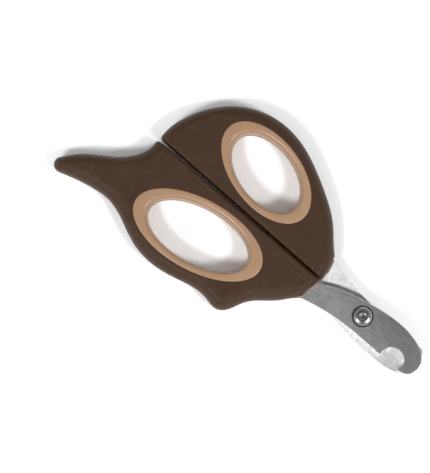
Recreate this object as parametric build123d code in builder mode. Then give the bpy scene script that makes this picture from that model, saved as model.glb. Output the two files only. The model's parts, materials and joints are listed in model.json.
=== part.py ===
from build123d import *
from dataclasses import dataclass
from math import acos, atan2, degrees, dist
import os

# Pet claw scissors: two looped handles, two notched blades and a pivot screw.
# Working frame, in millimetres: the pivot axis is the Z axis, the parting line between the
# handles is the X axis with the blades towards +X, and the handles rest on Z = 0.
# The lower handle lies towards -Y and carries the front blade, which is on top. The upper
# handle lies towards +Y and carries the back blade. Every piece is moved as it is saved, so
# that the origin of the finished object is the centre of its underside.

# Handles, overall
handle_length = 67.0        # collar to rear end, along X, without the tail
handle_width = 30.0         # parting line to the widest point, along Y
handle_thickness = 9.4
handle_round = 2.2          # rounding of the outer edges
collar_x = -16.7            # blade end of the handles, at the parting line
collar_slant = 1.9          # how far the collar's outer end stands back
collar_width = 8.5          # parting line to the collar's outer end
tail_round = 2.4            # radius of the tail's tip, seen from above

# Gap between the handles, a narrow wedge that is wider at the rear
gap_front = 0.45
gap_rear = 0.85
gap_round = 1.0             # rounding of the edges along the gap

# Hard cores, inside the grips
skin = 1.9                  # grip over and under the core
core_margin = 1.1           # core around the liner's flanges
core_setback = 1.0          # core behind the blade's shoulder
neck_wall = 0.9             # core beside the tang
tang_cover = 1.5            # core behind the tang's end
rib_width = 3.0

# Ring liners
liner_waist = 2.1           # wall between the two flanges
liner_draft = 0.5           # how far the opening widens from its middle to each face
liner_round = 1.0           # rounding of the opening's two rims

# Blades
blade_thickness = 1.9
blade_gap = 0.05            # between the two blades
neck_depth = 2.6            # full blade width inside the grip
tang_width = 4.4
tang_length = 13.5
tang_offset = 5.1           # parting line to the tang's middle
tang_hole_radius = 1.2
tang_hole_first = 4.0       # shoulder to the first retention hole
tang_hole_pitch = 5.4
edge_break = 0.15

# Claw notches, ground at a slant from the cutting face
notch_x = 15.4
notch_depth = 2.5           # beyond the cutting side, on the cutting face
notch_radius = 3.7          # on the cutting face
notch_rim_radius = 3.9      # on the outer face
notch_rim_shift = 2.2       # how far the bevel leans back into the blade
hook_reach = 4.9            # notch's middle to the lowest point of the hook
spine_lead = (1, 0.5)       # direction of the blunt side as it leaves the neck
hook_lead = (-1, -0.35)     # direction of the outline at the lowest point of the hook

# Pivot
barrel_radius = 1.9         # bearing barrel of the sleeve nut
barrel_flats = 3.1          # across the flats that key the nut into the back blade
barrel_play = 0.03          # radial, front blade on the barrel
key_play = 0.01             # nut in the back blade
end_play = 0.03             # front blade under the washer
nut_flange_radius = 3.0
nut_flange_thickness = 1.0
nut_flange_round = 0.4
nut_floor = 0.6             # closed end under the tapped hole
screw_radius = 1.25
screw_end_gap = 0.3         # screw's end to the bottom of the tapped hole
head_radius = 2.85
head_height = 1.5
head_rim = 0.75             # straight rim under the dome
head_round = 0.25           # rounding between the rim and the dome
socket_radius = 1.15        # across the corners
socket_depth = 1.0
washer_radius = 3.35
washer_thickness = 0.3
washer_play = 0.1           # radial, washer on the screw

# Levels and places that follow from the sizes above
middle = handle_thickness / 2
shoulder_x = collar_x - neck_depth
collar_end_x = collar_x - collar_slant
front_face = Plane((0, 0, middle))
back_face = Plane((0, 0, middle), x_dir=(1, 0, 0), z_dir=(0, 0, -1))
front_top = middle + blade_gap / 2 + blade_thickness
back_bottom = middle - blade_gap / 2 - blade_thickness
washer_bottom = front_top + end_play
head_bottom = washer_bottom + washer_thickness
hole_bottom = back_bottom - nut_flange_thickness + nut_floor
key_reach = 4 * barrel_radius       # wide enough to cut the flats right across the barrel


@dataclass
class Handle:
    """One handle. side is +1 towards +Y and -1 towards -Y. Outline and rib points are shares
    of the handle's length, counted back from the collar, and of its width."""

    side: int
    rear: list              # from the gap to the tail's tip, empty without a tail
    tail: tuple             # centre of the tail's tip, or None
    flank: list             # on from there to the collar
    ribs: list
    ring_x: float
    ring_y: float
    ring_turn: float
    flange: tuple           # half axes of the liner, as seen on the handle's face
    opening: tuple          # half axes of the finger opening at its narrowest

    def place(self, share):
        """The point at a share of the handle's length and width."""
        return (collar_x - share[0] * handle_length, self.side * share[1] * handle_width)


@dataclass
class Blade:
    """One blade, drawn with its cutting side towards -Y, on the face it cuts along."""

    face: Plane
    spine: list             # the blunt side, from the neck to the hook's tip
    neck: tuple             # inner and outer edge of the neck at the shoulder
    edge: float             # the straight cutting side
    edge_start: float       # where the cutting side begins to curve away to the neck


lower = Handle(
    side=-1,
    rear=[
        (1.002, 0.1), (1.012, 0.2), (1.04, 0.305), (1.081, 0.405), (1.138, 0.5), (1.191, 0.583),
        (1.239, 0.674), (1.274, 0.77),
    ],
    tail=(1.2615, 0.865),
    flank=[
        (1.18, 0.888), (1.09, 0.838), (1.0, 0.815), (0.91, 0.858), (0.83, 0.935), (0.745, 1.0),
        (0.66, 1.02), (0.56, 0.995), (0.47, 0.943), (0.385, 0.913), (0.335, 0.925), (0.288, 0.937),
        (0.253, 0.895), (0.205, 0.7), (0.15, 0.56), (0.095, 0.45), (0.055, 0.345),
    ],
    ribs=[[(0.88, 0.57), (1.03, 0.55), (1.14, 0.68), (1.236, 0.8)], [(0.4, 0.77), (0.293, 0.8)]],
    ring_x=-54.7,
    ring_y=-14.7,
    ring_turn=12.2,
    flange=(22.1, 11.1),
    opening=(17.1, 8.5),
)
upper = Handle(
    side=1,
    rear=[],
    tail=None,
    flank=[
        (1.0, 0.1), (0.988, 0.265), (0.94, 0.51), (0.855, 0.745), (0.74, 0.907), (0.61, 0.97),
        (0.485, 0.94), (0.36, 0.835), (0.23, 0.68), (0.12, 0.495), (0.06, 0.35),
    ],
    ribs=[[(0.76, 0.5), (0.915, 0.3)]],
    ring_x=-51.6,
    ring_y=13.8,
    ring_turn=-11.8,
    flange=(18.3, 10.75),
    opening=(13.7, 8.3),
)
front = Blade(
    face=front_face,
    spine=[(-10.8, 1.8), (-3.5, 3.9), (3.8, 5.4), (10.5, 6.0), (16.8, 5.2), (21.4, 3.0),
           (23.35, -0.6), (22.5, -3.8)],
    neck=(-2.3, -8.6),
    edge=-5.2,
    edge_start=3.0,
)
back = Blade(
    face=back_face,
    spine=[(-10.8, 3.0), (-3.5, 5.8), (4.5, 6.8), (11.5, 7.2), (17.2, 6.6), (20.9, 4.7),
           (22.7, 1.4), (21.9, -2.4)],
    neck=(-1.9, -7.6),
    edge=-4.6,
    edge_start=6.0,
)


def gap_plane(handle):
    """The handle's flat side along the gap, facing the other handle."""
    turn = (gap_rear - gap_front) / 2 / handle_length
    start = (collar_x, handle.side * gap_front / 2, 0)
    return Plane(start, x_dir=(0, 0, 1), z_dir=(-turn, -handle.side, 0))


def tangent_angle(centre, radius, point, turn):
    """Where a line from the point touches a circle, in degrees round its centre from +X."""
    toward = atan2(point[1] - centre[1], point[0] - centre[0])
    return degrees(toward + turn * acos(radius / dist(centre, point)))


def make_body(handle):
    """The whole rounded outside of a handle, before its pockets."""
    side = handle.side
    overrun = -side * (gap_rear + handle_round)
    start = handle.place((handle.rear or handle.flank)[0])
    flank = [handle.place(share) for share in handle.flank]
    collar_end = (collar_end_x, side * collar_width)
    to_collar = (1, -side)
    with BuildPart() as body:
        with BuildSketch():
            with BuildLine():
                heel = Line((start[0], overrun), start)
                if handle.tail:
                    rear = [handle.place(share) for share in handle.rear]
                    centre = handle.place(handle.tail)
                    tip_start = tangent_angle(centre, tail_round, rear[-1], 1)
                    tip_end = tangent_angle(centre, tail_round, flank[0], -1) % 360
                    with BuildLine(mode=Mode.PRIVATE):
                        tip = CenterArc(centre, tail_round, tip_start, tip_end - tip_start)
                    Spline(*rear, tip @ 0, tangents=[(0, side), tip % 0])
                    add(tip)
                    outer = Spline(tip @ 1, *flank, collar_end, tangents=[tip % 1, to_collar])
                else:
                    outer = Spline(*flank, collar_end, tangents=[(0, side), to_collar])
                collar = Line(outer @ 1, (collar_x, 0))
                nose = Line(collar @ 1, (collar_x, overrun))
                Line(nose @ 1, heel @ 0)
            make_face()
        extrude(amount=handle_thickness)
        rims = body.edges().filter_by(Plane.XY)
        fillet(rims.filter_by(lambda edge: side * edge.center().Y > 0), handle_round)
        split(bisect_by=gap_plane(handle), keep=Keep.BOTTOM)
        flat = body.faces().sort_by(Axis.Y)[-1 if side < 0 else 0]
        fillet(flat.edges(), gap_round)
    return body


def make_liner(handle):
    """Spool-shaped lining of the finger opening, with its narrowest line at mid-height."""
    centre = (handle.ring_x, handle.ring_y)
    waist = [half + liner_waist for half in handle.opening]
    mouth = [half + liner_draft for half in handle.opening]
    with BuildPart() as liner:
        with BuildSketch():
            with Locations(Location(centre + (0,), handle.ring_turn)):
                Ellipse(*handle.flange)
        extrude(amount=handle_thickness)
        with BuildSketch(Plane.XY.offset(skin)):
            with Locations(Location(centre + (0,), handle.ring_turn)):
                Ellipse(*[half + skin for half in handle.flange])
                Ellipse(*waist, mode=Mode.SUBTRACT)
        extrude(amount=handle_thickness - 2 * skin, mode=Mode.SUBTRACT)
        for level in (0, handle_thickness):
            with BuildSketch(Plane.XY.offset(middle)):
                with Locations(Location(centre + (0,), handle.ring_turn)):
                    Ellipse(*handle.opening)
            with BuildSketch(Plane.XY.offset(level)):
                with Locations(Location(centre + (0,), handle.ring_turn)):
                    Ellipse(*mouth)
            loft(mode=Mode.SUBTRACT)
        for level in (0, -1):
            face = liner.faces().filter_by(Plane.XY).sort_by(Axis.Z)[level]
            fillet(face.edges().sort_by(SortBy.LENGTH)[0], liner_round)
    return liner


def make_core(handle, blade_part):
    """Hard core: a ring around the liner's waist, a neck moulded over the tang, and ribs."""
    side = handle.side
    waist = [half + liner_waist for half in handle.opening]
    rim = [half + core_margin for half in handle.flange]
    neck_start = shoulder_x - core_setback
    neck_end = shoulder_x - tang_length - tang_cover
    neck_half = tang_width / 2 + neck_wall
    with BuildPart() as core:
        with BuildSketch(Plane.XY.offset(skin)):
            with Locations(Location((handle.ring_x, handle.ring_y, 0), handle.ring_turn)):
                Ellipse(*rim)
            with Locations(((neck_start + neck_end) / 2, side * tang_offset)):
                Rectangle(neck_start - neck_end, 2 * neck_half)
            for rib in handle.ribs:
                with BuildLine():
                    Polyline(*[handle.place(share) for share in rib])
                trace(line_width=rib_width)
            with Locations(Location((handle.ring_x, handle.ring_y, 0), handle.ring_turn)):
                Ellipse(*waist, mode=Mode.SUBTRACT)
        extrude(amount=handle_thickness - 2 * skin)
        add(blade_part, mode=Mode.SUBTRACT)
    return core


def make_grip(handle, core_part, blade_part):
    """Soft cover: the handle's body with room for the core, the liner and the blade."""
    body = make_body(handle)
    with BuildPart() as grip:
        add(body.part)
        with BuildSketch():
            with Locations(Location((handle.ring_x, handle.ring_y, 0), handle.ring_turn)):
                Ellipse(*handle.flange)
        extrude(amount=handle_thickness, mode=Mode.SUBTRACT)
        add(core_part, mode=Mode.SUBTRACT)
        add(blade_part, mode=Mode.SUBTRACT)
    return grip


def make_blade(blade, keyed):
    """A notched blade with its tang. A keyed blade has a pivot hole with two flats."""
    inner, outer = blade.neck
    hook = (notch_x + hook_reach, blade.edge)
    tang_inner = -tang_offset + tang_width / 2
    tang_outer = -tang_offset - tang_width / 2
    tang_x = shoulder_x - tang_length
    plane = blade.face.offset(blade_gap / 2)
    with BuildPart() as part:
        with BuildSketch(plane):
            with BuildLine():
                start = (shoulder_x, inner)
                spine = Spline(start, *blade.spine, hook, tangents=[spine_lead, hook_lead])
                straight = Line(spine @ 1, (blade.edge_start, blade.edge))
                TangentArc(straight @ 1, (shoulder_x, outer), tangent=(-1, 0))
                Polyline(
                    (shoulder_x, outer), (shoulder_x, tang_outer), (tang_x, tang_outer),
                    (tang_x, tang_inner), (shoulder_x, tang_inner), (shoulder_x, inner),
                )
            make_face()
            with Locations((shoulder_x - tang_hole_first, -tang_offset)):
                Circle(tang_hole_radius, mode=Mode.SUBTRACT)
            with Locations((shoulder_x - tang_hole_first - tang_hole_pitch, -tang_offset)):
                Circle(tang_hole_radius, mode=Mode.SUBTRACT)
        extrude(amount=blade_thickness)
        outside = part.faces().filter_by(Plane.XY).sort_by(Axis.Z)[0 if keyed else -1]
        fillet(outside.edges().sort_by(SortBy.LENGTH)[-1], edge_break)
        with BuildSketch(plane):
            Circle(barrel_radius + (key_play if keyed else barrel_play))
            if keyed:
                Rectangle(key_reach, barrel_flats + 2 * key_play, mode=Mode.INTERSECT)
        extrude(amount=blade_thickness, mode=Mode.SUBTRACT)
        with BuildSketch(plane):
            with Locations((notch_x, blade.edge + notch_depth - notch_radius)):
                Circle(notch_radius)
        with BuildSketch(plane.offset(blade_thickness)):
            with Locations((notch_x, blade.edge + notch_depth - notch_radius + notch_rim_shift)):
                Circle(notch_rim_radius)
        loft(mode=Mode.SUBTRACT)
    return part


def make_nut():
    """Sleeve nut: flange behind the back blade, keyed neck, and the barrel that is the bearing."""
    with BuildPart() as nut:
        with BuildSketch(Plane.XY.offset(back_bottom)):
            Circle(barrel_radius)
        extrude(amount=washer_bottom - back_bottom)
        with BuildSketch(Plane.XY.offset(back_bottom)):
            Circle(key_reach / 2)
            Rectangle(key_reach, barrel_flats, mode=Mode.SUBTRACT)
        extrude(amount=blade_thickness + blade_gap / 2, mode=Mode.SUBTRACT)
        with BuildSketch(Plane.XY.offset(back_bottom)):
            Circle(nut_flange_radius)
        extrude(amount=-nut_flange_thickness)
        fillet(nut.edges().sort_by(Axis.Z)[0], nut_flange_round)
        with BuildSketch(Plane.XY.offset(hole_bottom)):
            Circle(screw_radius)
        extrude(amount=washer_bottom - hole_bottom, mode=Mode.SUBTRACT)
    return nut


def make_screw():
    """Domed pivot screw with a small hexagon socket."""
    rim_top = head_bottom + head_rim
    head_top = head_bottom + head_height
    dome = head_height - head_rim
    dome_radius = (head_radius**2 + dome**2) / (2 * dome)
    with BuildPart() as screw:
        with BuildSketch(Plane.XZ):
            with BuildLine():
                rise = Polyline((0, head_bottom), (head_radius, head_bottom), (head_radius, rim_top))
                crown = RadiusArc(rise @ 1, (0, head_top), -dome_radius)
                Line(crown @ 1, rise @ 0)
            make_face()
        revolve(axis=Axis.Z)
        closed = screw.edges().filter_by(lambda edge: edge.is_closed)
        fillet(closed.sort_by(Axis.Z)[-1], head_round)
        with BuildSketch(Plane.XY.offset(head_top)):
            RegularPolygon(socket_radius, 6)
        extrude(amount=-socket_depth, mode=Mode.SUBTRACT)
        with BuildSketch(Plane.XY.offset(hole_bottom + screw_end_gap)):
            Circle(screw_radius)
        extrude(amount=head_bottom - hole_bottom - screw_end_gap)
    return screw


def make_washer():
    """Thin washer under the screw's head, resting on the nut's barrel."""
    with BuildPart() as washer:
        with BuildSketch(Plane.XY.offset(washer_bottom)):
            Circle(washer_radius)
            Circle(screw_radius + washer_play, mode=Mode.SUBTRACT)
        extrude(amount=washer_thickness)
    return washer


front_blade = make_blade(front, keyed=False)
back_blade = make_blade(back, keyed=True)
lower_liner = make_liner(lower)
upper_liner = make_liner(upper)
lower_core = make_core(lower, front_blade.part)
upper_core = make_core(upper, back_blade.part)
lower_grip = make_grip(lower, lower_core.part, front_blade.part)
upper_grip = make_grip(upper, upper_core.part, back_blade.part)
pivot_nut = make_nut()
pivot_screw = make_screw()
pivot_washer = make_washer()

pieces = {
    "front_blade": front_blade,
    "back_blade": back_blade,
    "lower_core": lower_core,
    "upper_core": upper_core,
    "lower_grip": lower_grip,
    "upper_grip": upper_grip,
    "lower_ring_liner": lower_liner,
    "upper_ring_liner": upper_liner,
    "pivot_nut": pivot_nut,
    "pivot_washer": pivot_washer,
    "pivot_screw": pivot_screw,
}

box = Compound([piece.part for piece in pieces.values()]).bounding_box()
shift = Location((-box.center().X, -box.center().Y, -box.min.Z))
os.makedirs("parts", exist_ok=True)
for label, piece in pieces.items():
    placed = piece.part.moved(shift)
    placed.label = label
    export_step(placed, f"parts/{label}.step")
print("pivot at", shift.position, "size", box.size)
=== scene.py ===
import json
from math import cos, pi, radians, sin
import bmesh
import bpy
import numpy as np
from mathutils import Matrix, Vector
from mathutils.geometry import delaunay_2d_cdt

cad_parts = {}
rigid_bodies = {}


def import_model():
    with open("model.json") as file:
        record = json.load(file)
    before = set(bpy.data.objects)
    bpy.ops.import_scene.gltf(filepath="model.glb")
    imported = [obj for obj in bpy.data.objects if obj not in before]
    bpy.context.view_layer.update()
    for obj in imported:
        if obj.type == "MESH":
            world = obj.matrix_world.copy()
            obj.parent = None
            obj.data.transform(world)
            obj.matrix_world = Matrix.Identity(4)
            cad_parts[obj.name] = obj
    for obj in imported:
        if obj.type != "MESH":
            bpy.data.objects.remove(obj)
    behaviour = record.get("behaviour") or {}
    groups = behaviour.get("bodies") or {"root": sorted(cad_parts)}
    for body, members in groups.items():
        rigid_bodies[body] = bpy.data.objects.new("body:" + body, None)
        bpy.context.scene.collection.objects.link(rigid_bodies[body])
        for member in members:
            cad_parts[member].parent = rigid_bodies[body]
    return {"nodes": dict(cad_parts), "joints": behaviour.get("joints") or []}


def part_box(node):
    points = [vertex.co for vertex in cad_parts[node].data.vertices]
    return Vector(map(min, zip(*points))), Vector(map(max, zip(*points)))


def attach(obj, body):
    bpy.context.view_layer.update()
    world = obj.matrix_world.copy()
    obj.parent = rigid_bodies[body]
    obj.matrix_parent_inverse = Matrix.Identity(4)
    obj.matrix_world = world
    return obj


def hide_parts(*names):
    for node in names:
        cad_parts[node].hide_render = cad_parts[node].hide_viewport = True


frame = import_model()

for leftover in [thing for thing in bpy.data.objects if thing.name in ("Cube", "Light", "Camera")]:
    bpy.data.objects.remove(leftover)
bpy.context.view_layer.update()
nodes = frame["nodes"]
scene = bpy.context.scene
pivot = Vector(frame["joints"][0]["pos_m"])
mm = 0.001
print("frame loaded:", len(nodes), "nodes")


def linkObject(name, data):
    thing = bpy.data.objects.new(name, data)
    scene.collection.objects.link(thing)
    return thing


# camera, lights and room

viewing = {
    "target": (-0.01076, -0.01023, 0.0),
    "eye": (0.02376, -0.04952, 0.5977),
    "up": (-0.6600, 0.7513, 0.0),      # turns the blades to the lower right
    "lens": 146.1,
}


def aim(thing, target, up):
    back = (thing.location - Vector(target)).normalized()
    side = Vector(up).cross(back).normalized()
    top = back.cross(side)
    thing.rotation_euler = Matrix((side, top, back)).transposed().to_euler()


camera = linkObject("viewCamera", bpy.data.cameras.new("viewCamera"))
camera.location = viewing["eye"]
camera.data.lens = viewing["lens"]
camera.data.sensor_width = 36
camera.data.clip_start = 0.01
aim(camera, viewing["target"], viewing["up"])
scene.camera = camera

softboxes = {
    "leftBox": {"heading": -95, "height": 52, "size": 0.20, "power": 5.4},
    "rightBox": {"heading": 6, "height": 52, "size": 0.20, "power": 5.2},
}
lightDistance = 0.95
for name, box in softboxes.items():
    lamp = linkObject(name, bpy.data.lights.new(name, "AREA"))
    lamp.data.shape = "SQUARE"
    lamp.data.size = box["size"]
    lamp.data.energy = box["power"]
    reach = lightDistance * cos(radians(box["height"]))
    lamp.location = (reach * cos(radians(box["heading"])), reach * sin(radians(box["heading"])),
                     lightDistance * sin(radians(box["height"])))
    aim(lamp, (0, 0, 0), (0, 0, 1))

roomLight = {"overhead": 0.15, "horizon": 0.60, "lowEnd": 0.35, "highEnd": 0.97}
world = bpy.data.worlds.new("studioRoom")
world.use_nodes = True
scene.world = world
room = world.node_tree
direction = room.nodes.new("ShaderNodeTexCoord")
height = room.nodes.new("ShaderNodeSeparateXYZ")
fade = room.nodes.new("ShaderNodeMapRange")
for socket, value in (("From Min", roomLight["lowEnd"]), ("From Max", roomLight["highEnd"]),
                      ("To Min", roomLight["horizon"]), ("To Max", roomLight["overhead"])):
    fade.inputs[socket].default_value = value
room.links.new(direction.outputs["Generated"], height.inputs[0])
room.links.new(height.outputs["Z"], fade.inputs["Value"])
room.links.new(fade.outputs["Result"], room.nodes["Background"].inputs["Color"])
scene.view_settings.view_transform = "Standard"
print("camera and lights placed")


# finishes

class Finish:
    def __init__(self, name):
        self.material = bpy.data.materials.new(name)
        self.material.use_nodes = True
        self.tree = self.material.node_tree
        self.shader = self.tree.nodes["Principled BSDF"]
        coordinates = self.tree.nodes.new("ShaderNodeTexCoord")
        self.place = coordinates.outputs["Object"]
        self.facing = coordinates.outputs["Normal"]

    def node(self, kind, links=None, **settings):
        made = self.tree.nodes.new(kind)
        for key, value in settings.items():
            if hasattr(made, key):
                setattr(made, key, value)
            else:
                made.inputs[key.replace("_", " ")].default_value = value
        for key, source in (links or {}).items():
            self.tree.links.new(source, made.inputs[key])
        return made

    def stretched(self, scale, turn=0.0):
        turned = self.node("ShaderNodeMapping", {"Vector": self.place}, Rotation=(0, 0, radians(turn)))
        return self.node("ShaderNodeMapping", {"Vector": turned.outputs[0]}, Scale=scale).outputs[0]

    def around(self, centre):
        back = tuple(-value for value in centre)
        return self.node("ShaderNodeMapping", {"Vector": self.place}, Location=back).outputs[0]

    def noise(self, scale, detail=4.0, roughness=0.55, source=None):
        return self.node("ShaderNodeTexNoise", {"Vector": source or self.place}, Scale=scale, Detail=detail,
                         Roughness=roughness).outputs["Fac"]

    def cells(self, scale, feature="F1"):
        return self.node("ShaderNodeTexVoronoi", {"Vector": self.place}, feature=feature,
                         Scale=scale).outputs["Distance"]

    def math(self, operation, first, second=0.0):
        made = self.tree.nodes.new("ShaderNodeMath")
        made.operation = operation
        for slot, value in enumerate((first, second)):
            if isinstance(value, (int, float)):
                made.inputs[slot].default_value = value
            else:
                self.tree.links.new(value, made.inputs[slot])
        return made.outputs[0]

    def spread(self, source, low, high, fromLow=0.0, fromHigh=1.0):
        return self.node("ShaderNodeMapRange", {"Value": source}, From_Min=fromLow, From_Max=fromHigh,
                         To_Min=low, To_Max=high).outputs[0]

    def axis(self, source, letter):
        return self.node("ShaderNodeSeparateXYZ", {"Vector": source}).outputs[letter]

    def ramp(self, source, stops):
        made = self.node("ShaderNodeValToRGB", {"Fac": source})
        elements = made.color_ramp.elements
        while len(elements) < len(stops):
            elements.new(0.5)
        for element, (position, colour) in zip(elements, stops):
            element.position = position
            element.color = (*colour, 1)
        return made.outputs["Color"]

    def mix(self, amount, first, second, blend="MIX"):
        made = self.tree.nodes.new("ShaderNodeMix")
        made.data_type = "RGBA"
        made.blend_type = blend
        sockets = (made.inputs["Factor"], made.inputs[6], made.inputs[7])      # 6 and 7 are the two colours
        for socket, value in zip(sockets, (amount, first, second)):
            if hasattr(value, "links"):
                self.tree.links.new(value, socket)
            elif isinstance(value, tuple):
                socket.default_value = (*value, 1)
            else:
                socket.default_value = value
        return made.outputs[2]

    def bump(self, height, strength, depth, under=None):
        made = self.node("ShaderNodeBump", {"Height": height}, Strength=strength, Distance=depth)
        if under:
            self.tree.links.new(under, made.inputs["Normal"])
        return made.outputs[0]

    def finish(self, colour=None, roughness=None, normal=None, **constants):
        for key, source in (("Base Color", colour), ("Roughness", roughness), ("Normal", normal)):
            if source is not None:
                self.tree.links.new(source, self.shader.inputs[key])
        for key, value in constants.items():
            self.shader.inputs[key.replace("_", " ")].default_value = value
        return self.material


def grey(value):
    return (value, value, value)


def softCover():
    f = Finish("soft brown cover")
    broad = f.noise(90, 3)
    worn = f.noise(420, 4)
    colour = f.ramp(broad, [(0.3, (0.0410, 0.0160, 0.0040)), (0.7, (0.0490, 0.0195, 0.0052))])
    grainEdges = f.spread(f.cells(2300, "DISTANCE_TO_EDGE"), 0.0, 1.0, 0.0, 0.22)
    colour = f.mix(f.spread(grainEdges, 0.30, 0.0), colour, (0.018, 0.007, 0.002))
    creased = f.bump(f.noise(1300, 5, 0.65), 0.45, 0.00009)
    grained = f.bump(grainEdges, 0.75, 0.00008, creased)
    skin = f.bump(f.noise(5200, 3), 0.25, 0.00002, grained)
    return f.finish(colour, f.spread(worn, 0.35, 0.46, 0.3, 0.7), skin, Specular_IOR_Level=0.27)


def linerPlastic():
    f = Finish("tan satin plastic")
    colour = f.ramp(f.noise(80, 3), [(0.3, (0.325, 0.196, 0.117)), (0.7, (0.352, 0.216, 0.131))])
    spark = f.bump(f.noise(4800, 3), 0.20, 0.00003)
    skin = f.bump(f.noise(700, 3), 0.10, 0.00005, spark)
    return f.finish(colour, f.spread(f.noise(900, 3), 0.27, 0.38), skin, Specular_IOR_Level=0.42)


def flashPlastic():
    f = Finish("thin moulding flash")
    colour = f.ramp(f.noise(1500, 3), [(0.35, (0.24, 0.115, 0.045)), (0.65, (0.42, 0.22, 0.10))])
    skin = f.bump(f.noise(3800, 4), 0.4, 0.00005)
    return f.finish(colour, f.spread(f.noise(2200, 3), 0.4, 0.6), skin)


def corePlastic():
    f = Finish("hard brown plastic")
    broad = f.noise(120, 3)
    colour = f.ramp(broad, [(0.3, (0.05, 0.03, 0.02)), (0.7, (0.065, 0.04, 0.028))])
    return f.finish(colour, f.spread(broad, 0.45, 0.6), f.bump(f.noise(3000, 3), 0.2, 0.00003))


def groundSteel(name, look):
    f = Finish(name)
    stretch = (look["along"], look["across"], look["deep"])
    strokes = [f.noise(1.0, 4, 0.6, f.stretched(stretch, turn)) for turn in look["turns"]]
    lines = strokes[0]
    for stroke in strokes[1:]:
        lines = f.math("MINIMUM", lines, stroke)
    clouds = f.noise(520, 5, 0.7)
    tone = f.math("ADD", f.math("MULTIPLY", lines, 0.6), f.math("MULTIPLY", clouds, 0.4))
    colour = f.ramp(tone, [(0.34, grey(look["dark"])), (0.62, grey(look["light"]))])
    # painted light and shade: the colour is scaled up near the handle and down towards the tip, standing in
    # for how the light falls along the blade
    local = f.around(pivot)
    slant = f.math("ADD", f.math("MULTIPLY", f.axis(local, "X"), 0.5), f.axis(local, "Y"))
    fade = f.spread(slant, look["paintedLightNearHandle"], look["paintedShadeNearTip"], *look["fade"])
    shade = f.node("ShaderNodeCombineXYZ", {"X": fade, "Y": fade, "Z": fade}).outputs[0]
    colour = f.mix(1.0, colour, shade, "MULTIPLY")
    upright = f.math("ABSOLUTE", f.axis(f.facing, "Z"))
    slanted = f.spread(upright, 1.0, 0.0, 0.90, 0.99)      # ground slopes and broken edges
    # partly real polish and partly painted highlight: ground slopes and broken edges take a near-white colour
    colour = f.mix(slanted, colour, grey(look["slope"]))
    rough = f.spread(lines, look["shineLow"], look["shineHigh"], 0.35, 0.65)
    flatRough = f.math("MULTIPLY", rough, f.math("SUBTRACT", 1.0, slanted))
    rough = f.math("ADD", flatRough, f.math("MULTIPLY", slanted, look["slopeShine"]))
    if look["grooved"]:      # grooves along the blade throw the light across it
        across = f.node("ShaderNodeVectorTransform", convert_from="OBJECT", convert_to="WORLD",
                        vector_type="VECTOR")
        across.inputs["Vector"].default_value = (0, 1, 0)
        f.tree.links.new(across.outputs["Vector"], f.shader.inputs["Tangent"])
    skin = f.bump(lines, look["relief"], 0.00003)
    return f.finish(colour, rough, skin, Metallic=1.0, Anisotropic=look["grooved"])


def turnedSteel(name, dark, light, rings):
    f = Finish(name)
    local = f.around(pivot)
    x, y = f.axis(local, "X"), f.axis(local, "Y")
    radius = f.math("SQRT", f.math("ADD", f.math("MULTIPLY", x, x), f.math("MULTIPLY", y, y)))
    grooves = f.math("SINE", f.math("MULTIPLY", radius, rings))
    clouds = f.noise(420, 4)
    colour = f.ramp(clouds, [(0.35, grey(dark)), (0.65, grey(light))])
    scratched = f.bump(f.noise(2600, 4), 0.10, 0.00002)
    skin = f.bump(grooves, 0.12, 0.00001, scratched)
    return f.finish(colour, f.spread(clouds, 0.14, 0.26), skin, Metallic=1.0)


frontLook = {
    "along": 300, "across": 4200, "deep": 300,      # fineness of the grinding lines
    "turns": (-4,),         # one set of lines for each, in degrees
    "dark": 0.36, "light": 0.57,
    "shineLow": 0.29, "shineHigh": 0.32,      # roughness of the flat faces
    # the slope tone is partly the polish of the ground slopes and partly a painted highlight
    "slope": 0.9, "slopeShine": 0.3,          # tone and roughness of the ground slopes
    # painted light and shade along the blade: lighter near the handle, darker towards the tip
    "paintedLightNearHandle": 1.5, "paintedShadeNearTip": 0.86,
    "fade": (-0.008, 0.009),                  # range of x / 2 + y over which one becomes the other
    "relief": 0.12,
    "grooved": 0.0,         # how much more the light is thrown one way
}
backLook = {
    "along": 260, "across": 3600, "deep": 300,
    "turns": (-12, 58),
    "dark": 0.42, "light": 0.72,
    "shineLow": 0.46, "shineHigh": 0.50,
    "slope": 0.9, "slopeShine": 0.3,
    "paintedLightNearHandle": 1.0, "paintedShadeNearTip": 1.0,
    "fade": (-0.008, 0.009),
    "relief": 0.25,
    "grooved": 0.89,
}
coverMaterial = softCover()
linerMaterial = linerPlastic()
flashMaterial = flashPlastic()
coreMaterial = corePlastic()
frontMaterial = groundSteel("brushed front steel", frontLook)
backMaterial = groundSteel("cross ground back steel", backLook)
headMaterial = turnedSteel("polished head steel", 0.34, 0.46, 26000)
washerMaterial = turnedSteel("dark washer steel", 0.16, 0.24, 30000)


def dress(name, material):
    holder = nodes[name]
    if not holder.material_slots:
        holder.data.materials.append(material)
    for slot in holder.material_slots:
        slot.material = material


for name, material in {
    "front_blade": frontMaterial, "back_blade": backMaterial,
    "lower_core": coreMaterial, "upper_core": coreMaterial,
    "lower_grip": coverMaterial, "upper_grip": coverMaterial,
    "lower_ring_liner": linerMaterial, "upper_ring_liner": linerMaterial,
    "pivot_screw": headMaterial, "pivot_washer": washerMaterial, "pivot_nut": headMaterial,
}.items():
    dress(name, material)
print("finishes made")


# node recipes

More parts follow.
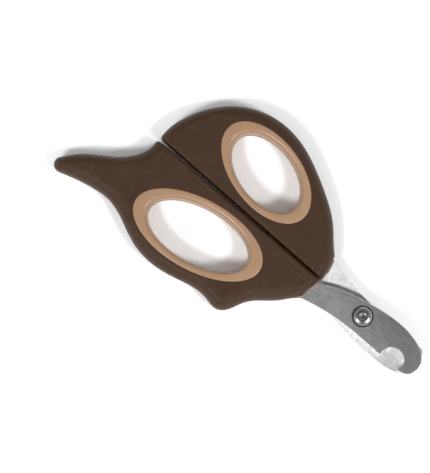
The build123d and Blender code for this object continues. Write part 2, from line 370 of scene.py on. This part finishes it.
class Recipe:
    def __init__(self, name):
        self.group = bpy.data.node_groups.new(name, "GeometryNodeTree")
        self.group.interface.new_socket(name="Geometry", in_out="OUTPUT", socket_type="NodeSocketGeometry")
        self.start = self.group.nodes.new("NodeGroupInput")
        self.sockets = {}

    def input(self, name, kind):
        item = self.group.interface.new_socket(name=name, in_out="INPUT", socket_type="NodeSocket" + kind)
        self.sockets[name] = item.identifier
        return next(socket for socket in self.start.outputs if socket.identifier == item.identifier)

    def node(self, kind, values=None, **settings):
        made = self.group.nodes.new(kind)
        for key, value in settings.items():
            setattr(made, key, value)
        for key, value in (values or {}).items():
            if isinstance(key, int):
                socket = made.inputs[key]
            else:
                socket = next(one for one in made.inputs if one.name == key and one.enabled)
            if hasattr(value, "links"):
                self.group.links.new(value, socket)
            else:
                socket.default_value = value
        return made.outputs

    def math(self, operation, first, second=0.0):
        return self.node("ShaderNodeMath", {0: first, 1: second}, operation=operation)[0]

    def end(self, geometry, material):
        realized = self.node("GeometryNodeRealizeInstances", {"Geometry": geometry})[0]
        painted = self.node("GeometryNodeSetMaterial", {"Geometry": realized, "Material": material})[0]
        self.node("NodeGroupOutput", {"Geometry": painted})


def applyRecipe(name, recipe, values, smoothAngle=40):
    holder = linkObject(name + "Source", bpy.data.meshes.new(name + "Source"))
    maker = holder.modifiers.new("maker", "NODES")
    maker.node_group = recipe.group
    for key, value in values.items():
        maker[recipe.sockets[key]] = value
    depsgraph = bpy.context.evaluated_depsgraph_get()
    mesh = bpy.data.meshes.new_from_object(holder.evaluated_get(depsgraph), depsgraph=depsgraph)
    bpy.data.objects.remove(holder)
    return finishedPiece(name, mesh, smoothAngle)


def finishedPiece(name, mesh, smoothAngle=40):
    work = bmesh.new()
    work.from_mesh(mesh)
    bmesh.ops.remove_doubles(work, verts=work.verts, dist=1e-7)
    bmesh.ops.delete(work, geom=[edge for edge in work.edges if not edge.link_faces], context="EDGES")
    bmesh.ops.recalc_face_normals(work, faces=work.faces)
    work.to_mesh(mesh)
    work.free()
    mesh.shade_smooth()
    mesh.set_sharp_from_angle(angle=radians(smoothAngle))
    mesh.name = name
    return linkObject(name, mesh)


def ringRecipe():
    recipe = Recipe("turned ring")
    profile = recipe.input("Profile", "Object")
    steps = recipe.input("Profile Points", "Int")
    around = recipe.input("Steps Around", "Int")
    wide = recipe.input("Half Length", "Float")
    narrow = recipe.input("Half Width", "Float")
    turn = recipe.input("Turn", "Float")
    centre = recipe.input("Centre", "Vector")
    material = recipe.input("Material", "Material")
    columns = recipe.math("ADD", around, 1)
    rows = recipe.math("ADD", steps, 1)
    grid = recipe.node("GeometryNodeMeshGrid",
                       {"Size X": 1.0, "Size Y": 1.0, "Vertices X": columns, "Vertices Y": rows})
    where = recipe.node("ShaderNodeSeparateXYZ", {"Vector": recipe.node("GeometryNodeInputPosition")[0]})
    angle = recipe.math("MULTIPLY", recipe.math("ADD", where["X"], 0.5), 2 * pi)
    index = recipe.math("ROUND", recipe.math("MULTIPLY", recipe.math("ADD", where["Y"], 0.5), steps))
    index = recipe.math("MODULO", index, steps)
    shape = recipe.node("GeometryNodeObjectInfo", {"Object": profile})["Geometry"]
    point = recipe.node("GeometryNodeInputPosition")[0]
    section = recipe.node("GeometryNodeSampleIndex", {"Geometry": shape, "Value": point, "Index": index},
                          data_type="FLOAT_VECTOR", domain="POINT")[0]
    offset = recipe.node("ShaderNodeSeparateXYZ", {"Vector": section})
    x = recipe.math("MULTIPLY", recipe.math("ADD", wide, offset["X"]), recipe.math("COSINE", angle))
    y = recipe.math("MULTIPLY", recipe.math("ADD", narrow, offset["Y"]), recipe.math("SINE", angle))
    flat = recipe.node("ShaderNodeCombineXYZ", {"X": x, "Y": y, "Z": offset["Z"]})[0]
    turned = recipe.node("ShaderNodeVectorRotate", {"Vector": flat, "Angle": turn}, rotation_type="Z_AXIS")[0]
    moved = recipe.node("ShaderNodeVectorMath", {0: turned, 1: centre}, operation="ADD")[0]
    bent = recipe.node("GeometryNodeSetPosition", {"Geometry": grid["Mesh"], "Position": moved})[0]
    closed = recipe.node("GeometryNodeMergeByDistance", {"Geometry": bent, "Distance": 1e-6})[0]
    recipe.end(closed, material)
    return recipe


turnedRing = ringRecipe()


def makeRing(name, profile, halfLength, halfWidth, turn, centre, material, around):
    points = [(x * mm, y * mm, z * mm) for x, y, z in profile]
    mesh = bpy.data.meshes.new(name + "Profile")
    mesh.from_pydata(points, [], [])
    holder = linkObject(name + "Profile", mesh)
    piece = applyRecipe(name, turnedRing, {
        "Profile": holder, "Profile Points": len(points), "Steps Around": around,
        "Half Length": halfLength * mm, "Half Width": halfWidth * mm, "Turn": radians(turn),
        "Centre": centre, "Material": material,
    })
    bpy.data.objects.remove(holder)
    return piece


def arc(centre, radius, start, end, steps):
    angles = [radians(start + (end - start) * step / steps) for step in range(steps + 1)]
    return [(centre[0] + radius * cos(a), centre[1] + radius * sin(a)) for a in angles]


def settle(piece, body, slotName, *replaced):
    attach(piece, body)
    if replaced:
        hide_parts(*replaced)


# finger loop liners

linerLook = {
    "rim": 1.15,            # rounding between the face and the wall
    "draft": 0.5,           # how much wider the loop is at each face
    "bead": 0.16,           # parting line round the middle of the wall
    "beadSteps": ((0.0, 0.0), (0.0, 0.10), (0.6, 0.19), (1.0, 0.30)),      # share of its depth, and level
    "wallSteps": 4, "rimSteps": 9,
    "skin": 1.9,            # thickness of the two flanges
    "waist": 2.1,
    "edge": 0.14,           # rounding of the flange's outer edge
    "edgeSteps": ((2, 0), (1, 0.25), (0.25, 1), (0, 2.2)),      # inset and drop, as shares of it
}
# ring centres are from the pivot, and flange and opening are half axes, all in millimetres
handles = {
    "lower": {"body": "lower_half", "side": -1, "ring": (-54.7, -14.7), "turn": 12.2,
              "flange": (22.1, 11.1), "opening": (17.1, 8.5)},
    "upper": {"body": "upper_half", "side": 1, "ring": (-51.6, 13.8), "turn": -11.8,
              "flange": (18.3, 10.75), "opening": (13.7, 8.3)},
}
ringSteps = 220
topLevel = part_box("lower_grip")[1].z / mm
midLevel = topLevel / 2


def linerProfile(flange, opening):
    look = linerLook
    out = (flange[0] - opening[0], flange[1] - opening[1])
    wall = look["draft"]
    bead = look["bead"]
    half = [(bead * share, bead * share, level) for share, level in look["beadSteps"]]
    beadTop = half[-1][2]
    rimStart = midLevel - look["rim"]
    slope = (wall - bead) / (midLevel - beadTop)
    for step in range(1, look["wallSteps"] + 1):
        level = beadTop + (rimStart - beadTop) * step / look["wallSteps"]
        half.append((bead + slope * (level - beadTop),) * 2 + (level,))
    rimEnd = wall + look["rim"]
    for x, z in arc((rimEnd, rimStart), look["rim"], 180, 90, look["rimSteps"])[1:]:
        half.append((x, x, z))
    half.append((rimEnd * 0.5 + out[0] * 0.5, rimEnd * 0.5 + out[1] * 0.5, midLevel))
    edge = look["edge"]
    for inset, drop in look["edgeSteps"]:
        half.append((out[0] - edge * inset, out[1] - edge * inset, midLevel - edge * drop))
    under = midLevel - look["skin"]
    half += [(out[0], out[1], under), (look["waist"], look["waist"], under)]
    upper = [(x, y, midLevel + z) for x, y, z in half]
    lower = [(x, y, midLevel - z) for x, y, z in half[1:]]
    return upper + lower[::-1]


for name, handle in handles.items():
    centre = (pivot.x + handle["ring"][0] * mm, pivot.y + handle["ring"][1] * mm, 0)
    profile = linerProfile(handle["flange"], handle["opening"])
    liner = makeRing(name + "LinerRing", profile, *handle["opening"], handle["turn"], centre,
                     linerMaterial, ringSteps)
    settle(liner, handle["body"], "liner_plastic", name + "_ring_liner")
print("liners made")


# soft covers

coverLook = {
    # roundings: how far each reaches inwards, the share of the height that stays upright, and how full it is
    "flankRound": 4.0, "flankWall": 0.15, "flankPower": 2.0,
    "gapRound": 1.0, "gapWall": 0.785,
    "collarRound": 2.5, "collarWall": 0.53, "collarPower": 1.7,
    "rimRound": 0.28, "rimDrop": 0.022,
    # parting line round the outside
    "ridge": 0.05, "ridgeHalf": 0.12,
    # where the edges of each kind lie, in millimetres from the pivot and in degrees
    "gapY": 0.75, "gapHeading": 3,
    "noseX": -19.5, "noseY": 2.2,
    "collarX": -19.2, "collarY": 8.6, "collarFrom": 1.2,
    # how finely the surface is divided
    "spacing": 0.42, "closest": 0.02,
    "insets": (0.13, 0.24, 0.4, 0.6, 0.85, 1.15, 1.5, 1.9, 2.35, 2.8, 3.3, 3.9),
    "insetSlack": 0.015, "sparseFrom": 1.0,
    "ringGrowth": (0.08, 0.18, 0.32, 0.6),
    "pitch": 1.3, "gridInset": 4.3, "gridFromRing": 1.0, "coarseSteps": 120,
    "edgeClear": 0.1, "ringClear": 0.04,
}


def sliceOutline(name, level):
    work = bmesh.new()
    work.from_mesh(nodes[name].data)
    bmesh.ops.remove_doubles(work, verts=work.verts, dist=1e-6)
    everything = work.verts[:] + work.edges[:] + work.faces[:]
    place = (0, 0, level * mm)
    cut = bmesh.ops.bisect_plane(work, geom=everything, plane_co=place, plane_no=(0, 0, 1))["geom_cut"]
    neighbours = {}
    for edge in (piece for piece in cut if isinstance(piece, bmesh.types.BMEdge)):
        first, second = edge.verts
        neighbours.setdefault(first, []).append(second)
        neighbours.setdefault(second, []).append(first)
    loops = []
    waiting = set(neighbours)
    while waiting:
        start = max(waiting, key=lambda vert: vert.co.x)
        loop, last, here = [start], None, start
        waiting.discard(start)
        while True:
            onward = [vert for vert in neighbours[here] if vert in waiting and vert is not last]
            if not onward:
                break
            last, here = here, onward[0]
            waiting.discard(here)
            loop.append(here)
        loops.append(np.array([(vert.co.x / mm, vert.co.y / mm) for vert in loop]))
    work.free()
    outline = max(loops, key=lambda loop: np.ptp(loop[:, 0]))
    steps = np.linalg.norm(outline - np.roll(outline, 1, axis=0), axis=1)
    outline = outline[steps > coverLook["closest"]]
    area = np.sum(outline[:, 0] * np.roll(outline[:, 1], -1) - np.roll(outline[:, 0], -1) * outline[:, 1])
    return outline if area > 0 else outline[::-1]


def smoothStretch(points, spacing):
    count = len(points)
    along = np.concatenate([[0], np.cumsum(np.linalg.norm(np.diff(points, axis=0), axis=1))])
    steps = max(2, int(round(along[-1] / spacing)))
    wanted = np.linspace(0, along[-1], steps + 1)[:-1]
    if count < 4:
        return np.column_stack([np.interp(wanted, along, points[:, axis]) for axis in (0, 1)])
    gaps = np.diff(along)
    system = np.zeros((count, count))
    system[0, 0] = system[-1, -1] = 1
    right = np.zeros((count, 2))
    for i in range(1, count - 1):
        system[i, i - 1:i + 2] = gaps[i - 1], 2 * (gaps[i - 1] + gaps[i]), gaps[i]
        right[i] = 6 * ((points[i + 1] - points[i]) / gaps[i] - (points[i] - points[i - 1]) / gaps[i - 1])
    bend = np.linalg.solve(system, right)
    place = np.clip(np.searchsorted(along, wanted, side="right") - 1, 0, count - 2)
    gap = gaps[place][:, None]
    before = (wanted - along[place])[:, None]
    after = gap - before
    return (bend[place] * after**3 + bend[place + 1] * before**3) / (6 * gap) \
        + (points[place] / gap - bend[place] * gap / 6) * after \
        + (points[place + 1] / gap - bend[place + 1] * gap / 6) * before


def resample(outline, spacing, cornerAngle=18, longSpan=5.0):
    ahead = np.roll(outline, -1, axis=0) - outline
    behind = outline - np.roll(outline, 1, axis=0)
    turning = np.degrees(np.abs(np.arctan2(behind[:, 0] * ahead[:, 1] - behind[:, 1] * ahead[:, 0],
                                           np.sum(behind * ahead, axis=1))))
    isCorner = (turning > cornerAngle) | (np.linalg.norm(ahead, axis=1) > longSpan) \
        | (np.linalg.norm(behind, axis=1) > longSpan)
    corners = np.flatnonzero(isCorner)
    stretches = []
    for here, there in zip(corners, np.roll(corners, -1)):
        if there <= here:
            there += len(outline)
        points = outline[np.arange(here, there + 1) % len(outline)]
        stretches.append(smoothStretch(points, spacing))
    return np.concatenate(stretches)


def offsetInwards(outline, amount):
    tangent = np.roll(outline, -1, axis=0) - np.roll(outline, 1, axis=0)
    tangent /= np.linalg.norm(tangent, axis=1)[:, None]
    return outline + amount * np.column_stack([-tangent[:, 1], tangent[:, 0]])


def distanceTo(points, starts, ends):
    best = np.full(len(points), 1e9)
    for first, second in zip(starts, ends):
        span = second - first
        share = np.clip((points - first) @ span / max(span @ span, 1e-12), 0, 1)
        best = np.minimum(best, np.linalg.norm(points - first - share[:, None] * span, axis=1))
    return best


def roundOver(distance, reach, low, power=2.0):
    share = np.clip((reach - distance) / reach, 0, 1)
    return low + (1 - low) * (1 - share**power) ** (1 / power)


def ellipsePoints(handle, grow, count):
    angles = np.linspace(0, 2 * pi, count, endpoint=False)
    turn = radians(handle["turn"])
    x = (handle["flange"][0] + grow) * np.cos(angles)
    y = (handle["flange"][1] + grow) * np.sin(angles)
    return np.column_stack([pivot.x / mm + handle["ring"][0] + x * cos(turn) - y * sin(turn),
                            pivot.y / mm + handle["ring"][1] + x * sin(turn) + y * cos(turn)])


def insideLoop(points, loop):
    inside = np.zeros(len(points), bool)
    for first, second in zip(loop, np.roll(loop, -1, axis=0)):
        crossing = (first[1] > points[:, 1]) != (second[1] > points[:, 1])
        if crossing.any():
            lean = (second[0] - first[0]) / (second[1] - first[1] + 1e-12)
            meet = first[0] + (points[:, 1] - first[1]) * lean
            inside ^= crossing & (points[:, 0] < meet)
    return inside


def makeCover(name, handle):
    look = coverLook
    outline = resample(sliceOutline(name + "_grip", midLevel), look["spacing"])
    side = handle["side"]
    inner = offsetInwards(outline, look["ridge"])
    starts, ends = outline, np.roll(outline, -1, axis=0)
    localX = (outline[:, 0] + ends[:, 0]) / 2 - pivot.x / mm
    localY = ((outline[:, 1] + ends[:, 1]) / 2 - pivot.y / mm) * side
    span = ends - starts
    heading = np.degrees(np.arctan2(span[:, 1], span[:, 0])) % 180
    fromLevel = np.minimum(heading, 180 - heading)
    alongGap = (localY < look["gapY"]) & (fromLevel < look["gapHeading"])
    nearNose = (localX > look["noseX"]) & (localY < look["noseY"])
    alongCollar = (localX > look["collarX"]) & (localY < look["collarY"])
    isFlank = ~(alongGap | nearNose | alongCollar)
    gapStarts, gapEnds = starts[alongGap], ends[alongGap]
    onCollar = alongCollar & (localY > look["collarFrom"])
    collarStarts, collarEnds = starts[onCollar], ends[onCollar]

    def relief(points):
        flank = roundOver(distanceTo(points, starts[isFlank], ends[isFlank]), look["flankRound"],
                          look["flankWall"], look["flankPower"])
        gap = roundOver(distanceTo(points, gapStarts, gapEnds), look["gapRound"], look["gapWall"])
        collar = roundOver(distanceTo(points, collarStarts, collarEnds), look["collarRound"],
                           look["collarWall"], look["collarPower"])
        ring = ellipsePoints(handle, 0, ringSteps)
        fromRing = distanceTo(points, ring, np.roll(ring, -1, axis=0))
        rim = roundOver(fromRing, look["rimRound"], 1 - look["rimDrop"])
        return midLevel * flank * gap * collar * rim

    hole = ellipsePoints(handle, 0, ringSteps)
    free = []
    for inset in look["insets"]:
        ring = offsetInwards(outline, inset)
        if inset > look["sparseFrom"]:
            ring = ring[::2]
        free.append(ring[distanceTo(ring, starts, ends) > inset - look["insetSlack"]])
    for grow in look["ringGrowth"]:
        free.append(ellipsePoints(handle, grow, ringSteps))
    low, high = outline.min(axis=0), outline.max(axis=0)
    pitch = look["pitch"]
    rowPitch = pitch * 0.866      # nearly equal triangles
    across, up = np.meshgrid(np.arange(low[0], high[0], pitch), np.arange(low[1], high[1], rowPitch))
    across = across + (np.arange(across.shape[0])[:, None] % 2) * pitch / 2
    grid = np.column_stack([across.ravel(), up.ravel()])
    grid = grid[insideLoop(grid, outline)]
    grid = grid[distanceTo(grid, starts, ends) > look["gridInset"]]
    free.append(grid[~insideLoop(grid, ellipsePoints(handle, look["gridFromRing"], look["coarseSteps"]))])
    loose = np.concatenate(free)
    loose = loose[insideLoop(loose, offsetInwards(outline, look["edgeClear"]))
                  & ~insideLoop(loose, ellipsePoints(handle, look["ringClear"], ringSteps))]
    flat = np.concatenate([inner, hole, loose])
    outerCount, holeCount = len(inner), len(hole)
    edges = [(i, (i + 1) % outerCount) for i in range(outerCount)]
    edges += [(outerCount + i, outerCount + (i + 1) % holeCount) for i in range(holeCount)]
    points = [Vector(point) for point in flat]
    corners, _, triangles, origins, _, _ = delaunay_2d_cdt(points, edges, [], 1, 1e-5)
    placed = np.array([(corner.x, corner.y) for corner in corners])
    middles = placed[np.array(triangles)].mean(axis=1)
    keep = ~insideLoop(middles, hole)
    triangles = [triangle for triangle, kept in zip(triangles, keep) if kept]
    became = {origin: i for i, sources in enumerate(origins) for origin in sources}
    rise = relief(placed)
    count = len(placed)
    verts = [(x, y, midLevel + z) for (x, y), z in zip(placed, rise)]
    verts += [(x, y, midLevel - z) for (x, y), z in zip(placed, rise)]
    ridgeAt = len(verts)
    for level, loop in ((look["ridgeHalf"], inner), (0.0, outline), (-look["ridgeHalf"], inner)):
        verts += [(x, y, midLevel + level) for x, y in loop]
    faces = [tuple(triangle) for triangle in triangles]
    faces += [tuple(count + corner for corner in reversed(triangle)) for triangle in triangles]
    for i in range(outerCount):
        j = (i + 1) % outerCount
        rows = [[became[i], became[j]]]
        rows += [[ridgeAt + row * outerCount + i, ridgeAt + row * outerCount + j] for row in range(3)]
        rows.append([count + became[i], count + became[j]])
        for above, below in zip(rows, rows[1:]):
            faces.append((above[0], below[0], below[1], above[1]))
    for i in range(holeCount):
        first, second = became[outerCount + i], became[outerCount + (i + 1) % holeCount]
        faces.append((first, second, count + second, count + first))
    mesh = bpy.data.meshes.new(name + "Cover")
    mesh.from_pydata([(x * mm, y * mm, z * mm) for x, y, z in verts], [], faces)
    mesh.materials.append(coverMaterial)
    return finishedPiece(name + "Cover", mesh, 50)


for name, handle in handles.items():
    cover = makeCover(name, handle)
    settle(cover, handle["body"], "grip_rubber", name + "_grip")
    print(name, "cover:", len(cover.data.polygons), "faces")


# pivot screw

headLook = {
    "shank": 1.25, "shankChamfer": 0.25,
    "underEdge": 0.08,
    "rimHeight": 0.80, "rimRound": 0.20, "rimTurn": 55, "rimSteps": 5,
    "crownDrop": 0.62, "crownPower": 4, "crownSteps": 12, "leastRise": 0.02,
    "recessRadius": 1.42, "recessChamfer": 0.30,
    "lipRound": 0.12, "lipDrop": 0.03, "recessDrop": 0.18,
    "socketStart": 0.24, "socketInset": 0.02,
    "socketDepth": 0.95, "socketTaper": 0.10,
    "steps": 144,           # a multiple of six, so that the socket's corners are sharp
}
screwLow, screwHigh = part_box("pivot_screw")
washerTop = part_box("pivot_washer")[1].z / mm


def screwRows():
    look = headLook
    headRadius = (screwHigh.x - screwLow.x) / 2 / mm
    top, shankEnd = screwHigh.z / mm, screwLow.z / mm
    shank, chamfer, underEdge = look["shank"], look["shankChamfer"], look["underEdge"]
    rows = [(0.0, shankEnd, False), (shank - chamfer, shankEnd, False), (shank, shankEnd + chamfer, False)]
    rows += [(shank, washerTop, False), (headRadius - underEdge, washerTop, False)]
    rows.append((headRadius, washerTop + underEdge, False))
    rimTop = washerTop + look["rimHeight"]
    rimCentre = (headRadius - look["rimRound"], rimTop - look["rimRound"])
    for r, z in arc(rimCentre, look["rimRound"], 0, look["rimTurn"], look["rimSteps"]):
        rows.append((r, z, False))
    edgeRadius, edgeLevel = rows[-1][:2]
    for step in range(1, look["crownSteps"] + 1):
        share = 1 - step / look["crownSteps"]
        r = look["recessRadius"] + (edgeRadius - look["recessRadius"]) * share
        rise = 1 - (r / headRadius) ** look["crownPower"]
        level = top - look["crownDrop"] + look["crownDrop"] * rise
        rows.append((r, max(level, edgeLevel + (1 - share) * look["leastRise"]), False))
    inner = look["recessRadius"] - look["recessChamfer"]
    lip = rows[-1][1]
    rows.append((inner + look["lipRound"], lip - look["lipDrop"], False))
    rows.append((inner, lip - look["recessDrop"], False))
    rows.append((inner - look["socketInset"], lip - look["socketStart"], True))
    floorLevel = top - look["socketDepth"]
    rows.append((inner - look["socketInset"], floorLevel, True))
    rows.append((inner * 0.5, floorLevel - look["socketTaper"], False))
    rows.append((0.0, floorLevel - look["socketTaper"] * 1.6, False))
    return rows


def makeScrew():
    steps = headLook["steps"]
    work = bmesh.new()
    loops = []
    for r, z, hexagonal in screwRows():
        loop = []
        for step in range(steps):
            angle = 2 * pi * step / steps
            flat = cos(pi / 6) / cos((angle % (pi / 3)) - pi / 6) if hexagonal else 1.0
            x = pivot.x + r * flat * cos(angle) * mm
            y = pivot.y + r * flat * sin(angle) * mm
            loop.append(work.verts.new((x, y, z * mm)))
        loops.append(loop)
    for below, above in zip(loops, loops[1:]):
        for i in range(steps):
            j = (i + 1) % steps
            work.faces.new((below[i], below[j], above[j], above[i]))
    mesh = bpy.data.meshes.new("pivotScrewHead")
    work.to_mesh(mesh)
    work.free()
    mesh.materials.append(headMaterial)
    return finishedPiece("pivotScrewHead", mesh, 35)


settle(makeScrew(), "upper_half", "screw_steel", "pivot_screw")
print("pivot screw made")


# moulding flash where the covers meet the blades

flashLook = {
    "points": 90,
    "thickness": 0.13,      # radius of the bead
    "ragged": 0.32,         # it wanders by up to half of this to each side
    "grain": 900.0,
    "corner": 1.9,          # how much thicker it is at the outer corner
    "lift": 0.02,           # its middle above the blade's face
}
flashLines = {
    "lower": {"node": "front_blade", "inner": (-16.73, -1.5), "outer": (-18.55, -8.45), "seed": 3.0},
    "upper": {"node": "back_blade", "inner": (-16.85, 3.1), "outer": (-18.35, 7.5), "seed": 8.0},
}


def flashRecipe():
    recipe = Recipe("ragged bead")
    start = recipe.input("Start", "Vector")
    end = recipe.input("End", "Vector")
    count = recipe.input("Points", "Int")
    thickness = recipe.input("Thickness", "Float")
    ragged = recipe.input("Raggedness", "Float")
    corner = recipe.input("Corner Growth", "Float")
    grain = recipe.input("Grain", "Float")
    seed = recipe.input("Seed", "Float")
    material = recipe.input("Material", "Material")
    line = recipe.node("GeometryNodeCurvePrimitiveLine", {"Start": start, "End": end})[0]
    path = recipe.node("GeometryNodeResampleCurve", {"Curve": line, "Count": count})[0]
    place = recipe.node("GeometryNodeInputPosition")[0]
    wander = recipe.node("ShaderNodeTexNoise", {"Vector": place, "W": seed, "Scale": grain, "Detail": 3.0},
                         noise_dimensions="4D")["Color"]
    centred = recipe.node("ShaderNodeVectorMath", {0: wander, 1: (0.5, 0.5, 0.5)}, operation="SUBTRACT")[0]
    flat = recipe.node("ShaderNodeVectorMath", {0: centred, 1: (1.0, 1.0, 0.25)}, operation="MULTIPLY")[0]
    shift = recipe.node("ShaderNodeVectorMath", {0: flat, "Scale": ragged}, operation="SCALE")[0]
    bent = recipe.node("GeometryNodeSetPosition", {"Geometry": path, "Offset": shift})[0]
    along = recipe.node("GeometryNodeSplineParameter")["Factor"]
    nearEnd = recipe.math("POWER", along, 14.0)      # only the outer end swells
    swell = recipe.math("MULTIPLY", nearEnd, corner)
    width = recipe.math("MULTIPLY", thickness, recipe.math("ADD", swell, 1.0))
    section = recipe.node("GeometryNodeCurvePrimitiveCircle", {"Resolution": 8, "Radius": 1.0},
                          mode="RADIUS")[0]
    solid = recipe.node("GeometryNodeCurveToMesh",
                        {"Curve": bent, "Profile Curve": section, "Scale": width, "Fill Caps": True})[0]
    recipe.end(solid, material)
    return recipe


raggedBead = flashRecipe()
for name, line in flashLines.items():
    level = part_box(line["node"])[1].z + flashLook["lift"] * mm
    ends = [(pivot.x + x * mm, pivot.y + y * mm, level) for x, y in (line["inner"], line["outer"])]
    flash = applyRecipe(name + "CollarFlash", raggedBead, {
        "Start": ends[0], "End": ends[1], "Points": flashLook["points"],
        "Thickness": flashLook["thickness"] * mm, "Raggedness": flashLook["ragged"] * mm,
        "Corner Growth": flashLook["corner"], "Grain": flashLook["grain"],
        "Seed": line["seed"], "Material": flashMaterial,
    })
    settle(flash, handles[name]["body"], "liner_plastic")
print("moulding flash made")


# floor

floorLook = {
    "size": 3.0,
    "level": -0.00005,      # just under the covers, so that the two surfaces never share a plane
    "paintedGlow": 0.24,           # painted light: the paper glows a little, lifting open shadows
    "reach": 0.02,          # how near something has to be to cut the glow, a painted shade
}


def palePaper():
    f = Finish("pale paper")
    tone = f.ramp(f.noise(14, 3), [(0.3, grey(0.89)), (0.7, grey(0.91))])
    # painted light and shade: the paper glows, and ambient occlusion cuts the glow near things and in gaps
    openness = f.node("ShaderNodeAmbientOcclusion", Distance=floorLook["reach"], samples=8).outputs["AO"]
    paintedGlow = f.math("MULTIPLY", openness, floorLook["paintedGlow"])
    f.tree.links.new(paintedGlow, f.shader.inputs["Emission Strength"])
    skin = f.bump(f.noise(900, 3), 0.05, 0.00002)
    return f.finish(tone, None, skin, Roughness=0.9, Specular_IOR_Level=0.2, Emission_Color=(1, 1, 1, 1))


floorMesh = bpy.data.meshes.new("paperFloor")
corner = floorLook["size"] / 2
square = ((-1, -1), (1, -1), (1, 1), (-1, 1))
floorMesh.from_pydata([(x * corner, y * corner, floorLook["level"]) for x, y in square], [], [(0, 1, 2, 3)])
floorMesh.materials.append(palePaper())
paperFloor = linkObject("paperFloor", floorMesh)
print("floor laid")
